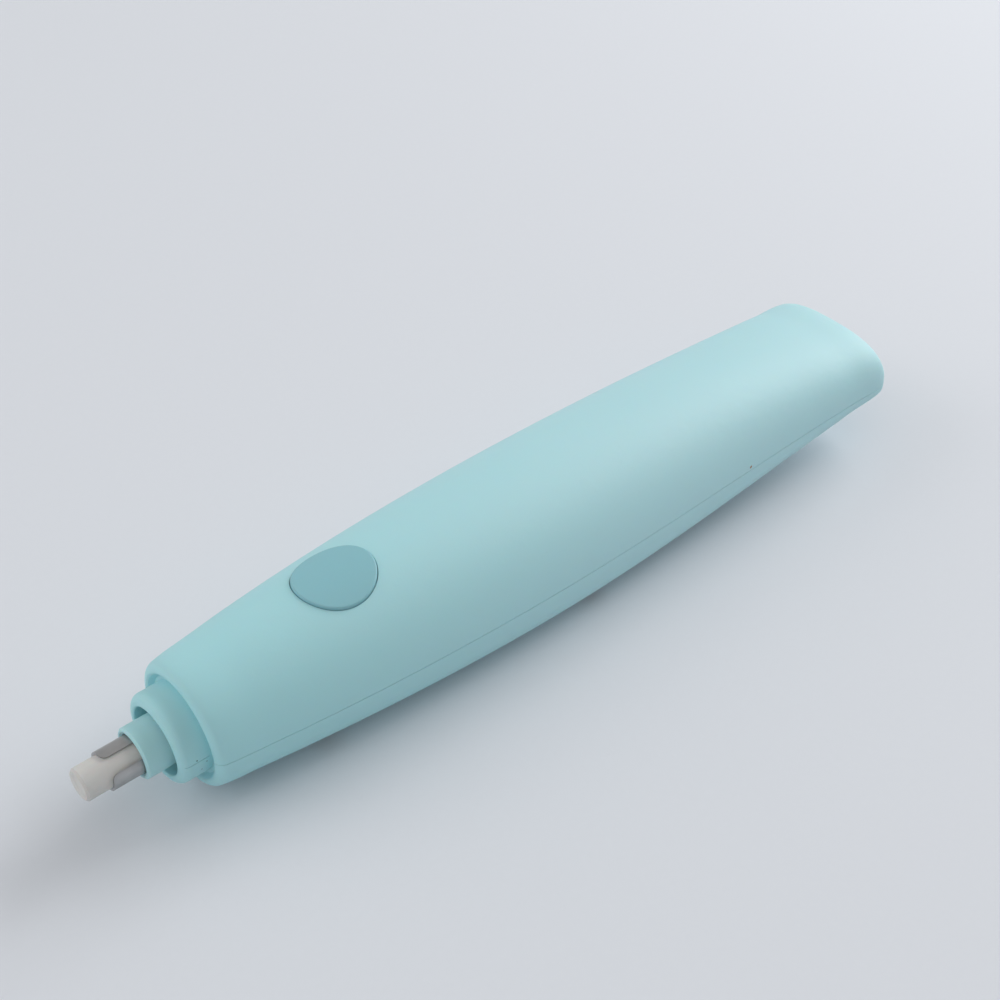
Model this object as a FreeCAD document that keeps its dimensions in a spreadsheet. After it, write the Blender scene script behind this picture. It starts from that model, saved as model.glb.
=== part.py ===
import FreeCAD, Part
import math
import os
import re
import Sketcher

# An electric eraser: a two-shell casing with a motor-driven spindle that turns a stick eraser.
# X runs from the nose to the tail and Z is up. All sizes are in millimetres.
# The pieces are drawn with x = 0 at the front face of the casing's shoulder and the spindle's axis
# at axis_height; each finished piece then moves so that the origin is under the object's middle.

V = FreeCAD.Vector
doc = FreeCAD.newDocument("electric_eraser")
sheet = doc.addObject("Spreadsheet::Sheet", "Sizes")

# ---------------------------------------------------------------- driving sizes
SIZES = {
    # casing form, given at five stations; rises and drops are measured from the axis
    "body_length": 135.7, "axis_height": 11.2, "wall": 1.7,
    "station_grip": 29.9, "station_middle": 65.1, "station_rear": 103.1,
    "nose_radius": 9.62, "width_grip": 13.0, "width_middle": 14.3,
    "width_rear": 13.3, "width_tail": 12.8,
    "rise_grip": 12.3, "rise_middle": 12.5, "rise_rear": 10.85, "rise_tail": 6.9,
    "drop_grip": 11.05, "drop_middle": 11.45, "drop_rear": 8.6, "drop_tail": 3.4,
    "square_nose": 2.0, "square_top": 2.05, "square_top_tail": 2.64,
    "square_under": 2.5, "square_under_tail": 2.9,
    "rim_round": 1.2, "tail_round": 2.4, "tail_side": 4.2, "tail_top": 3.8, "tail_under": 2.2,
    "least_round": 0.3,
    # neck ring, the sunk ring round its root, and the line where the two shells meet
    "neck_reach": 4.0, "neck_radius": 6.95, "neck_bore": 5.3, "neck_round": 1.2,
    "neck_inner_round": 0.3, "sunk_depth": 0.8, "sunk_width": 1.5, "sunk_floor": 0.6,
    "sunk_sag": 0.15, "seam_gap": 0.08, "seam_depth": 0.25,
    # eraser stick, spring collet and sleeve
    "eraser_radius": 2.5, "eraser_length": 20.0, "eraser_proud": 3.8, "eraser_wear": 0.35,
    "eraser_fit": 0.05, "jaw_proud": 4.55, "collet_gauge": 0.4, "slot_width": 2.54,
    "slot_length": 11.0, "jaw_corner": 0.9, "slot_turn": 127.2, "collet_seat": 3.4,
    "sleeve_reach": 7.5, "sleeve_radius": 3.95, "sleeve_bore": 3.1, "sleeve_inside": 8.0,
    "sleeve_edge": 0.3, "press_fit": 0.02,
    # hub and the bush that it runs in
    "collar_length": 3.0, "hub_radius": 3.0, "hub_end": 35.5, "shaft_socket": 9.5,
    "bush_front": 12.0, "bush_length": 5.0, "bush_radius": 4.8, "running_fit": 0.04,
    # motor
    "motor_front": 38.0, "motor_length": 25.0, "motor_radius": 10.05, "motor_flat": 7.55,
    "can_gauge": 0.9, "boss_radius": 3.1, "boss_length": 1.6, "motor_bush_radius": 2.4,
    "motor_bush_length": 2.6, "shaft_radius": 1.0, "magnet_length": 16.0,
    "magnet_gap": 0.05, "air_gap": 0.35, "core_length": 10.0, "core_start": 5.6, "pole_arm": 2.2,
    "pole_tip": 1.1, "pole_slot": 1.3, "coil_width": 5.4, "coil_end": 1.3,
    "commutator_radius": 2.4, "commutator_length": 4.0, "commutator_start": 18.2,
    "segment_slit": 0.25, "segment_root": 0.5, "washer_radius": 2.0, "washer_gauge": 0.4,
    "washer_gap": 0.2, "coil_clear": 0.1, "coil_round": 1.0,
    "cap_plug": 1.2, "cap_length": 2.2, "cap_boss": 1.4, "terminal_offset": 5.5,
    "terminal_gauge": 0.4, "terminal_width": 2.0, "terminal_reach": 2.6,
    "brush_length": 2.0, "brush_width": 1.6, "brush_height": 1.1,
    # button, switch and circuit board
    "button_x": 27.1, "button_long": 6.25, "button_wide": 5.95, "button_proud": 0.4,
    "button_gap": 0.12, "button_round": 0.3, "button_skin": 1.2, "button_lip": 1.0,
    "lip_gauge": 0.8, "lip_height": 18.8, "button_roof": 21.7, "stem_radius": 1.5,
    "touch_gap": 0.05, "guide_wall": 1.0,
    "board_front": 21.8, "board_rear": 36.0, "board_half": 8.8, "board_gauge": 1.0,
    "board_gap": 0.2, "switch_side": 6.0, "switch_height": 3.5, "plunger_radius": 1.7,
    "plunger_proud": 0.8, "plunger_fit": 0.08, "plunger_room": 1.5, "plunger_foot": 0.84,
    "rail_gauge": 1.2, "rail_inset": 0.9, "pad_inset": 1.44,
    # batteries and their contacts
    "battery_radius": 5.2, "battery_body": 43.5, "battery_nub": 1.0, "nub_radius": 1.9,
    "battery_gap": 0.3, "battery_pitch": "=2 * battery_radius + battery_gap",
    "battery_height": 12.5, "bulkhead_front": 69.6, "bulkhead_gauge": 1.4,
    "contact_gauge": 0.4, "contact_half": 3.7, "contact_low": 8.6,
    "contact_high": 16.2, "contact_tab": 2.4, "spring_room": 3.0, "spring_wire": 0.35,
    "spring_wide": 3.2, "spring_narrow": 2.0, "spring_turns": 2.5, "bridge_x": 119.3, "bridge_rib": 1.3,
    # battery door and its rails
    "door_front": 73.5, "door_half": 8.8, "door_gap": 0.15, "door_skirt": 1.0,
    "rail_low": 5.0, "rail_high": 5.9, "lip_top": 6.9, "lip_reach": 0.8, "lip_rear": 90.0,
    "rail_rear": 98.0, "rail_gap": 0.1, "grip_radius": 0.6, "grip_pitch": 2.0,
    "grip_front": 79.0, "grip_half": 5.0,
    # screws, ribs and wires
    "screw_front": 19.0, "screw_front_y": 6.6, "screw_rear": 68.3, "screw_rear_y": 9.2,
    "screw_radius": 0.85, "screw_head": 1.6, "head_height": 1.2, "head_seat": 5.0,
    "screw_tip": 17.0, "screw_clear": 0.1, "boss_wall": 0.9, "rib_gauge": 1.5,
    "rib_front": 41.0, "rib_rear": 57.0, "motor_fit": 0.15, "rib_root": 0.3,
    "wire_radius": 0.45, "wire_slot": 0.3, "wire_lane": 3.2,
}
for row, (alias, number) in enumerate(SIZES.items(), 1):
    sheet.set("A%d" % row, alias)
    sheet.set("B%d" % row, str(number))
    sheet.setAlias("B%d" % row, alias)
doc.recompute()


# ---------------------------------------------------------------- helpers
def linked(formula):
    """A formula in sheet aliases, written the way the document's expressions name them."""
    def with_sheet(word):
        name = word.group(0)
        return "Sizes." + name if name in SIZES else name
    return re.sub(r"[a-z][a-z_]*", with_sheet, str(formula))


def size(formula):
    """The number that a formula in sheet aliases comes to now."""
    return float(sheet.evalExpression(linked(formula)))


def bind(thing, **formulas):
    for prop, formula in formulas.items():
        thing.setExpression(prop, linked(formula))


def place(thing, x="0", y="0", z="0"):
    """Ties a piece's position to the sheet."""
    thing.setExpression(".Placement.Base.x", linked(x))
    thing.setExpression(".Placement.Base.y", linked(y))
    thing.setExpression(".Placement.Base.z", linked(z))


def box(name, x, y, z):
    """A box between pairs of formulas, one pair for each axis."""
    thing = doc.addObject("Part::Box", name)
    bind(thing, Length="(%s) - (%s)" % (x[1], x[0]), Width="(%s) - (%s)" % (y[1], y[0]),
         Height="(%s) - (%s)" % (z[1], z[0]))
    place(thing, x[0], y[0], z[0])
    return thing


def mirrored(side, low, high):
    """A pair of y formulas, or the same pair on the other side of the middle."""
    return (low, high) if side > 0 else ("-(%s)" % high, "-(%s)" % low)


ALONG = {"x": FreeCAD.Rotation(V(0, 1, 0), 90), "y": FreeCAD.Rotation(V(1, 0, 0), -90),
         "z": FreeCAD.Rotation()}


def rod(name, radius, start, end, axis="x", x="0", y="0", z="axis_height"):
    """A cylinder along one axis, from start to end, through the other two coordinates."""
    thing = doc.addObject("Part::Cylinder", name)
    bind(thing, Radius=radius, Height="(%s) - (%s)" % (end, start))
    thing.Placement = FreeCAD.Placement(V(), ALONG[axis])
    at = {"x": x, "y": y, "z": z}
    at[axis] = start
    place(thing, **at)
    return thing


def join(name, pieces):
    thing = doc.addObject("Part::MultiFuse", name)
    thing.Shapes = pieces
    return thing


def meet(name, pieces):
    thing = doc.addObject("Part::MultiCommon", name)
    thing.Shapes = pieces
    return thing


def cut(name, base, *tools):
    thing = doc.addObject("Part::Cut", name)
    thing.Base = base
    thing.Tool = tools[0] if len(tools) == 1 else join(name + "_tools", list(tools))
    return thing


def shaped(name, shape):
    """A piece whose form comes from a law of its own."""
    thing = doc.addObject("Part::Feature", name)
    thing.Shape = shape
    thing.Placement = FreeCAD.Placement()
    return thing


def turned(name, outline, y="0", z="axis_height"):
    """A body of revolution about X: the outline is a closed run of (x, radius) formulas."""
    body = doc.addObject("PartDesign::Body", name)
    sketch = body.newObject("Sketcher::SketchObject", name + "_outline")
    plane = [item for item in body.Origin.OriginFeatures if item.Role == "XZ_Plane"][0]
    sketch.AttachmentSupport = [(plane, "")]
    sketch.MapMode = "FlatFace"
    corners = [V(size(x), size(radius), 0) for x, radius in outline]
    count = len(corners)
    for index, corner in enumerate(corners):
        sketch.addGeometry(Part.LineSegment(corner, corners[(index + 1) % count]), False)
    for index in range(count):
        sketch.addConstraint(Sketcher.Constraint("Coincident", index, 2, (index + 1) % count, 1))
    for index, (x, radius) in enumerate(outline):
        for kind, formula, number in (("DistanceX", x, corners[index].x),
                                      ("DistanceY", radius, corners[index].y)):
            which = sketch.addConstraint(Sketcher.Constraint(kind, -1, 1, index, 1, number))
            sketch.renameConstraint(which, "%s_%d" % (kind, index))
            sketch.setExpression("Constraints.%s_%d" % (kind, index), linked(formula))
    turn = body.newObject("PartDesign::Revolution", name + "_turn")
    turn.Profile = sketch
    turn.ReferenceAxis = (sketch, ["H_Axis"])
    turn.Angle = 360
    sketch.Visibility = False
    body.Tip = turn
    place(body, "0", y, z)
    return body


NODES = []
MIDDLE = "(body_length - sleeve_reach - jaw_proud - eraser_proud) / 2"


def node(thing, label):
    """Marks a finished piece with the name that its file gets, and centres it lengthwise."""
    drawn_at = dict(thing.ExpressionEngine).get(".Placement.Base.x", "0")
    thing.setExpression(".Placement.Base.x", "%s - %s" % (drawn_at, linked(MIDDLE)))
    thing.Label = label
    NODES.append(thing)
    return thing


# ---------------------------------------------------------------- casing form
def law(pairs):
    """A smooth curve through (x, value) pairs."""
    stations = [size(x) for x, _ in pairs]
    curve = Part.BSplineCurve()
    curve.interpolate(Points=[V(size(x), size(value), 0) for x, value in pairs],
                      Parameters=stations)
    return lambda x: curve.value(min(max(x, stations[0]), stations[-1])).y


STATIONS = ["0", "station_grip", "station_middle", "station_rear", "body_length"]


def through(*values):
    return law(list(zip(STATIONS, values)))


half_width = through("nose_radius", "width_grip", "width_middle", "width_rear", "width_tail")
rise = through("nose_radius", "rise_grip", "rise_middle", "rise_rear", "rise_tail")
drop = through("nose_radius", "drop_grip", "drop_middle", "drop_rear", "drop_tail")
square_top = law([("0", "square_nose"), ("station_middle", "square_top"),
                  ("body_length", "square_top_tail")])
square_under = law([("0", "square_nose"), ("station_middle", "square_under"),
                    ("body_length", "square_under_tail")])


POINTS_ACROSS = 24
RINGS_ALONG = 26
ROUND_STEPS = 6


def ring(x, upper, inset, side_trim, height_trim, count=POINTS_ACROSS):
    """Half of the casing's section at x: a squared ellipse, from one side to the other."""
    width = half_width(x) - inset - side_trim
    height = (rise(x) if upper else drop(x)) - inset - height_trim
    power = 2.0 / (square_top(x) if upper else square_under(x))
    sign = 1 if upper else -1
    points = []
    for step in range(count + 1):
        angle = math.pi * step / count
        across = math.copysign(abs(math.cos(angle)) ** power, math.cos(angle))
        up = max(math.sin(angle), 0.0) ** power if 0 < step < count else 0.0
        points.append(V(0, width * across, size("axis_height") + sign * height * up))
    return points


def interpolated(points, stations):
    curve = Part.BSplineCurve()
    curve.interpolate(Points=points, Parameters=stations)
    return curve


def net_surface(grid):
    """A smooth surface through a net of points, one row of the net for each ring."""
    count = len(grid[0])
    across = [step / (count - 1) for step in range(count)]
    rows = [interpolated(points, across) for points in grid]
    along = [0.0]
    for before, after in zip(grid, grid[1:]):
        steps = [(q - p).Length for p, q in zip(before, after)]
        along.append(along[-1] + sum(steps) / count)
    poles = [list(row.getPoles()) for row in rows]
    columns = [interpolated([row[index] for row in poles], along) for index in range(len(poles[0]))]
    net = [list(line) for line in zip(*[column.getPoles() for column in columns])]
    surface = Part.BSplineSurface()
    surface.buildFromPolesMultsKnots(
        net, columns[0].getMultiplicities(), rows[0].getMultiplicities(),
        columns[0].getKnots(), rows[0].getKnots(), False, False, 3, 3)
    return surface


def casing_half(upper, inset):
    """The solid upper or lower half of the casing's form, its whole surface moved in by inset."""
    start, end = max(inset, 0.0), size("body_length") - inset
    rim, tail, side, trim = [
        max(size(name) - start, size("least_round"))
        for name in ("rim_round", "tail_round", "tail_side", "tail_top" if upper else "tail_under")]
    rings = []
    quarter = [math.pi / 2 * step / ROUND_STEPS for step in range(ROUND_STEPS + 1)]
    for angle in quarter:
        edge = rim * (1 - math.sin(angle))
        rings.append((start + rim * (1 - math.cos(angle)), edge, edge))
    first, last = start + rim, end - tail
    for step in range(1, RINGS_ALONG):
        rings.append((first + (last - first) * step / RINGS_ALONG, 0.0, 0.0))
    for angle in quarter:
        edge = 1 - math.cos(angle)
        rings.append((last + tail * math.sin(angle), side * edge, trim * edge))
    grid = []
    for x, side_trim, height_trim in rings:
        along = V(x, 0, 0)
        grid.append([along + point for point in ring(x, upper, inset, side_trim, height_trim)])
    surface = net_surface(grid)
    skin = surface.toShape()
    front = [edge for edge in skin.Edges if edge.BoundBox.XLength < 0.001]
    sides = [edge for edge in skin.Edges if edge.BoundBox.XLength > 1]
    front.sort(key=lambda edge: edge.BoundBox.XMin)
    caps = []
    closing = []
    for arc in front:
        chord = Part.makeLine(arc.Vertexes[0].Point, arc.Vertexes[-1].Point)
        closing.append(chord)
        caps.append(Part.Face(Part.Wire([arc, chord])))
    base = Part.Face(Part.Wire(Part.__sortEdges__([sides[0], closing[0], sides[1], closing[1]])))
    shell = Part.makeShell([skin, base] + caps)
    shell.sewShape()
    solid = Part.makeSolid(shell)
    if solid.Volume < 0:
        solid.reverse()
    return solid


form_top = shaped("form_top", casing_half(True, 0.0))
form_under = shaped("form_under", casing_half(False, 0.0))
cavity_top = shaped("cavity_top", casing_half(True, size("wall")))
cavity_under = shaped("cavity_under", casing_half(False, size("wall")))
root_top = shaped("root_top", casing_half(True, size("wall - rib_root")))
root_under = shaped("root_under", casing_half(False, size("wall - rib_root")))
proud_top = shaped("proud_top", casing_half(True, -size("button_proud")))

ABOVE = ("axis_height", "axis_height + rise_middle + wall")
BELOW = ("axis_height - drop_middle - wall", "axis_height")
ACROSS = ("-width_middle - wall", "width_middle + wall")
LENGTHWISE = ("-neck_reach - wall", "body_length + wall")
BOARD_LOW = "axis_height + hub_radius + board_gap"
BOARD_TOP = BOARD_LOW + " + board_gauge"
SWITCH_TOP = BOARD_TOP + " + switch_height"
CONTACT_REAR = "bulkhead_front + bulkhead_gauge + contact_gauge"
LEFT_CELL = CONTACT_REAR + " + battery_nub"
RIGHT_CELL = CONTACT_REAR + " + spring_room"


# ---------------------------------------------------------------- what both shells share
def bearing_ring(name):
    """The neck ring, with both edges of its front face rounded."""
    turns = [90 * step / ROUND_STEPS for step in range(ROUND_STEPS + 1)]
    inner = [("-neck_reach + neck_inner_round * (1 - sin(%g deg))" % turn,
              "neck_bore + neck_inner_round * (1 - cos(%g deg))" % turn) for turn in turns]
    outer = [("-neck_reach + neck_round * (1 - sin(%g deg))" % turn,
              "neck_radius - neck_round * (1 - cos(%g deg))" % turn) for turn in reversed(turns)]
    return turned(name, inner + outer + [("wall", "neck_radius"), ("wall", "neck_bore")])


neck_ring = bearing_ring("neck_ring")
neck_hole = rod("neck_hole", "neck_bore", "-neck_reach - wall", "wall * 2")
sunk_ring = turned("sunk_ring", [
    ("-wall", "neck_radius"), ("-wall", "neck_radius + sunk_width"),
    ("0", "neck_radius + sunk_width"),
    ("sunk_depth / 3 - sunk_sag", "neck_radius + (sunk_floor + sunk_width * 2) / 3"),
    ("sunk_depth * 2 / 3 - sunk_sag / 2", "neck_radius + (sunk_floor * 2 + sunk_width) / 3"),
    ("sunk_depth", "neck_radius + sunk_floor"), ("sunk_depth", "neck_radius")])
half_space_top = box("half_space_top", LENGTHWISE, ACROSS, ABOVE)
half_space_under = box("half_space_under", LENGTHWISE, ACROSS, BELOW)
seam_line = cut(
    "seam_line",
    box("seam_band", LENGTHWISE, ACROSS, ("axis_height - seam_gap / 2", "axis_height + seam_gap / 2")),
    shaped("seam_floor_top", casing_half(True, size("seam_depth"))),
    shaped("seam_floor_under", casing_half(False, size("seam_depth"))),
    rod("seam_floor_neck", "neck_radius - seam_depth", "-neck_reach - wall", "wall"))


def motor_room(name):
    """The motor's outline with its fit, cut out of the cradle ribs."""
    barrel = rod(name + "_round", "motor_radius + motor_fit", "motor_front", "motor_front + motor_length")
    flats = box(name + "_flats", ("motor_front", "motor_front + motor_length"), ACROSS,
                ("axis_height - motor_flat - motor_fit", "axis_height + motor_flat + motor_fit"))
    return meet(name, [barrel, flats])


def slab(name, start, gauge, upper):
    return box(name, (start, "(%s) + %s" % (start, gauge)), ACROSS, ABOVE if upper else BELOW)


def ribs(upper):
    """Cross ribs: the bush seat, two motor cradles and the bulkhead before the batteries."""
    side = "top" if upper else "under"
    root = root_top if upper else root_under
    seat = cut("bush_seat_" + side,
               slab("bush_slab_" + side, "bush_front + rib_gauge / 2", "bush_length - rib_gauge", upper),
               rod("bush_hole_" + side, "bush_radius + press_fit", "bush_front",
                   "bush_front + bush_length"))
    cradle = cut("cradle_" + side,
                 join("cradle_slabs_" + side, [
                     slab("cradle_front_" + side, "rib_front", "rib_gauge", upper),
                     slab("cradle_rear_" + side, "rib_rear", "rib_gauge", upper)]),
                 motor_room("motor_room_" + side))
    bulkhead = slab("bulkhead_" + side, "bulkhead_front", "bulkhead_gauge", upper)
    return [meet("rib_" + piece.Name, [piece, root]) for piece in (seat, cradle, bulkhead)]


SCREWS = [("screw_front", "screw_front_y"), ("screw_front", "-screw_front_y"),
          ("screw_rear", "screw_rear_y"), ("screw_rear", "-screw_rear_y")]


def screw_rods(name, radius, start, end):
    return join(name, [rod("%s_%d" % (name, index), radius, start, end, "z", x, y)
                       for index, (x, y) in enumerate(SCREWS)])


def bosses(name, radius, upper):
    reach = ("axis_height", "axis_height + rise_middle") if upper else ("0", "axis_height")
    return meet(name, [screw_rods(name + "_posts", radius, *reach),
                       root_top if upper else form_under])


def contact_slots(name):
    """Openings in the bulkhead that the two front contacts' tabs pass through."""
    return join(name, [
        box("%s_%d" % (name, side), ("bulkhead_front - wall", "bulkhead_front + bulkhead_gauge + wall"),
            ("%d * battery_pitch / 2 - contact_tab / 2 - wire_slot" % side,
             "%d * battery_pitch / 2 + contact_tab / 2 + wire_slot" % side),
            ("contact_high - contact_gauge - wire_slot", "contact_high + wire_slot"))
        for side in (-1, 1)])


# ---------------------------------------------------------------- upper shell
def oval(name, grow, low, high):
    """An upright oval column on the button's centre, grown by a margin all round."""
    outline = doc.addObject("Part::Ellipse", name + "_outline")
    bind(outline, MajorRadius="max(button_long; button_wide) + %s" % grow,
         MinorRadius="min(button_long; button_wide) + %s" % grow)
    turn = 90 if size("button_wide - button_long") > 0 else 0
    outline.Placement = FreeCAD.Placement(V(), FreeCAD.Rotation(V(0, 0, 1), turn))
    place(outline, "button_x", "0", low)
    column = doc.addObject("Part::Extrusion", name)
    column.Base = outline
    column.DirMode = "Custom"
    column.Dir = V(0, 0, 1)
    column.Solid = True
    bind(column, LengthFwd="(%s) - (%s)" % (high, low))
    return column


guide = meet("button_guide", [
    oval("guide_column", "button_gap + guide_wall", "lip_height + touch_gap",
         "axis_height + rise_middle"), root_top])
hold_downs = meet("board_hold_downs", [
    join("hold_down_blocks", [
        box("hold_down_%d" % side, ("board_front + rail_gauge", "board_rear - rail_gauge * 2"),
            mirrored(side, "board_half - rail_inset", "board_half"),
            (BOARD_TOP + " + touch_gap", "axis_height + rise_middle")) for side in (-1, 1)]), root_top])
bridge_seat = meet("bridge_seat", [
    join("bridge_blocks", [
        box("bridge_block_top", ("bridge_x + contact_gauge", "bridge_x + contact_gauge + bridge_rib"),
            ACROSS, ABOVE),
        box("bridge_block_low", ("bridge_x + contact_gauge", "bridge_x + contact_gauge + bridge_rib"),
            ("-contact_half - battery_pitch / 2 + rail_inset",
             "contact_half + battery_pitch / 2 - rail_inset"),
            ("contact_low", "axis_height"))]),
    join("root_all", [root_top, half_space_under])])
wire_notches = join("wire_notches", [
    box("wire_notch_%d" % side, ("rib_front - rib_gauge", "rib_rear + rib_gauge * 2"),
        ("%d * wire_lane - wire_radius - wire_slot" % side,
         "%d * wire_lane + wire_radius + wire_slot" % side),
        ("axis_height + motor_flat", "axis_height + motor_flat + wire_radius * 2 + wire_slot * 2"))
    for side in (-1, 1)])
cell_rooms = join("cell_rooms", [
    rod("cell_room_%d" % side, "battery_radius + press_fit", start, start + " + battery_body",
        y="%d * battery_pitch / 2" % side, z="battery_height")
    for side, start in ((1, LEFT_CELL), (-1, RIGHT_CELL))] + [
    box("bridge_room", ("bridge_x", "bridge_x + contact_gauge"),
        ("-contact_half - battery_pitch / 2 - press_fit",
         "contact_half + battery_pitch / 2 + press_fit"),
        ("contact_low", "contact_high + press_fit"))])
upper_wall = cut("upper_wall", form_top, cavity_top)
upper_blank = join("upper_blank", [
    upper_wall, meet("neck_top", [neck_ring, half_space_top]), guide, hold_downs, bridge_seat,
    bosses("bosses_top", "screw_radius + boss_wall + screw_clear", True)] + ribs(True))
upper_shell = node(cut(
    "upper_body", upper_blank, neck_hole, sunk_ring, seam_line,
    oval("button_opening", "button_gap", "lip_height - wall", "axis_height + rise_middle + wall"),
    screw_rods("pilot_holes", "screw_radius + press_fit", "axis_height - wall",
               "screw_tip + screw_clear"),
    contact_slots("slots_top"), wire_notches, cell_rooms), "upper_shell")

# ---------------------------------------------------------------- lower shell
board_rails = meet("board_rails", [
    join("rail_blocks", [
        box("rail_block_%d" % side, ("board_front + rail_gauge", "board_rear - rail_gauge * 2"),
            mirrored(side, "board_half - rail_gauge", "board_half"),
            ("axis_height - drop_grip", BOARD_LOW)) for side in (-1, 1)]),
    join("root_low", [root_under, half_space_top])])
door_rails = meet("door_rails", [
    join("door_rail_blocks", [
        box("door_rail_%d" % side, ("door_front", "rail_rear"),
            mirrored(side, "door_half + door_gap", "width_middle"),
            ("rail_low", "rail_high")) for side in (-1, 1)]), root_under])
lower_wall = cut("lower_wall", form_under, cavity_under)
lower_blank = join("lower_blank", [
    lower_wall, meet("neck_under", [neck_ring, half_space_under]), board_rails, door_rails,
    bosses("bosses_under", "screw_head + boss_wall", False)] + ribs(False))
head_holes = screw_rods("head_holes", "screw_head + screw_clear", "-wall", "head_seat")
lower_shell = node(cut(
    "lower_body", lower_blank, neck_hole, sunk_ring, seam_line,
    box("door_opening", ("door_front - door_gap", "body_length + wall"),
        ("-door_half - door_gap", "door_half + door_gap"), BELOW),
    screw_rods("shank_holes", "screw_radius + screw_clear", "-wall", "axis_height + wall"),
    head_holes, box("rest_flat_trim", LENGTHWISE, ACROSS, ("-wall * 2", "0"))), "lower_shell")

# ---------------------------------------------------------------- battery door
door_span = ("door_front", "body_length + wall")
door_width = ("-door_half", "door_half")
door_plate = meet("door_plate", [
    lower_wall, box("door_span", door_span, door_width,
                    ("axis_height - drop_middle - wall", "axis_height - rail_gap"))])


def door_side(side):
    """A skirt inside the door's edge, with the lip that runs over the lower shell's rail."""
    return [box("door_skirt_%d" % side, ("door_front", "lip_rear"),
                mirrored(side, "door_half - door_skirt", "door_half"), ("wall / 2", "lip_top")),
            box("door_lip_%d" % side, ("door_front", "lip_rear"),
                mirrored(side, "door_half - door_skirt", "door_half + lip_reach"),
                ("rail_high + rail_gap", "lip_top"))]


skirts = meet("door_skirts", [join("skirt_blocks", door_side(1) + door_side(-1)), root_under])
grip_grooves = join("grip_grooves", [
    rod("grip_%d" % index, "grip_radius", "-grip_half", "grip_half", "y",
        x="grip_front + %d * grip_pitch" % index, z="axis_height - drop_middle") for index in range(4)])
battery_door = node(cut(
    "door_body", join("door_blank", [door_plate, skirts]), grip_grooves,
    box("door_flat_trim", LENGTHWISE, ACROSS, ("-wall * 2", "0"))), "battery_door")

# ---------------------------------------------------------------- button, switch and board
def rounded_crown(blank):
    """The button's blank with the edge round its crown rounded off."""
    rounding = doc.addObject("Part::Fillet", "crown_rounding")
    rounding.Base = blank
    doc.recompute()
    highest = max(face.BoundBox.ZMax for face in blank.Shape.Faces)
    crown = [face for face in blank.Shape.Faces if face.BoundBox.ZMax > highest - 0.01
             and face.normalAt(*face.Surface.parameter(face.CenterOfMass)).z > 0.5]
    rim = [edge.hashCode() for face in crown for edge in face.OuterWire.Edges]
    radius = size("button_round")
    rounding.Edges = [(index, radius, radius) for index, edge in enumerate(blank.Shape.Edges, 1)
                      if edge.hashCode() in rim]
    return rounding


button_blank = join("button_blank", [
    meet("button_crown", [oval("button_column", "0", "lip_height - lip_gauge",
                               "axis_height + rise_middle + wall"),
                          join("crown_room", [proud_top, box(
                              "crown_base", LENGTHWISE, ACROSS, BELOW)])]),
    oval("button_flange", "button_lip", "lip_height - lip_gauge", "lip_height")])
button = node(join("button_body", [
    cut("button_shell", rounded_crown(button_blank),
        oval("button_hollow", "-button_skin", "lip_height - lip_gauge - wall", "button_roof")),
    rod("button_stem", "stem_radius",
        SWITCH_TOP + " + plunger_proud + touch_gap",
        "button_roof + button_skin / 2", "z", "button_x", "0")]), "button")

circuit_board = node(box("board", ("board_front", "board_rear"), ("-board_half", "board_half"),
                         (BOARD_LOW, BOARD_TOP)), "circuit_board")
switch_body = node(cut(
    "switch_case",
    box("switch_block", ("button_x - switch_side / 2", "button_x + switch_side / 2"),
        ("-switch_side / 2", "switch_side / 2"), (BOARD_TOP, SWITCH_TOP)),
    rod("plunger_hole", "plunger_radius + plunger_fit", SWITCH_TOP + " - plunger_room",
        SWITCH_TOP + " + wall", "z", "button_x", "0")), "switch_body")
switch_plunger = node(rod("plunger", "plunger_radius", SWITCH_TOP + " - plunger_foot",
                          SWITCH_TOP + " + plunger_proud", "z", "button_x", "0"), "switch_plunger")

# ---------------------------------------------------------------- spindle
JAW_TIP = "-sleeve_reach - jaw_proud"
COLLET_BORE = "(eraser_radius + eraser_fit)"
COLLET_RADIUS = "(eraser_radius + eraser_fit + collet_gauge)"
ERASER_TIP = "(-sleeve_reach - jaw_proud - eraser_proud)"
eraser = node(turned("eraser_stick", [
    (ERASER_TIP, "0"), (ERASER_TIP, "eraser_radius - eraser_wear"),
    (ERASER_TIP + " + eraser_wear", "eraser_radius"),
    (ERASER_TIP + " + eraser_length", "eraser_radius"),
    (ERASER_TIP + " + eraser_length", "0")]), "eraser")

collet_tube = turned("collet_tube", [
    (JAW_TIP, COLLET_BORE), (JAW_TIP, COLLET_RADIUS),
    ("sleeve_inside", COLLET_RADIUS), ("sleeve_inside", COLLET_BORE)])


def jaw_slot():
    """The cutter for both slots: round at its root, flared by a round corner at the jaws' tips."""
    half = size("slot_width") / 2
    corner = size("jaw_corner")
    tip = size(JAW_TIP)
    root = tip + size("slot_length")
    reach = size("sleeve_radius")
    slant = math.sqrt(0.5)

    def at(x, y):
        return V(x, y, 0)
    edges = [
        Part.makeLine(at(tip - 1, -half - corner), at(tip, -half - corner)),
        Part.Arc(at(tip, -half - corner), at(tip + corner * (1 - slant), -half - corner * (1 - slant)),
                 at(tip + corner, -half)).toShape(),
        Part.makeLine(at(tip + corner, -half), at(root - half, -half)),
        Part.Arc(at(root - half, -half), at(root, 0), at(root - half, half)).toShape(),
        Part.makeLine(at(root - half, half), at(tip + corner, half)),
        Part.Arc(at(tip + corner, half), at(tip + corner * (1 - slant), half + corner * (1 - slant)),
                 at(tip, half + corner)).toShape(),
        Part.makeLine(at(tip, half + corner), at(tip - 1, half + corner)),
        Part.makeLine(at(tip - 1, half + corner), at(tip - 1, -half - corner))]
    cutter = Part.Face(Part.Wire(edges)).extrude(V(0, 0, reach * 2))
    cutter.translate(V(0, 0, -reach))
    return cutter


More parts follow.
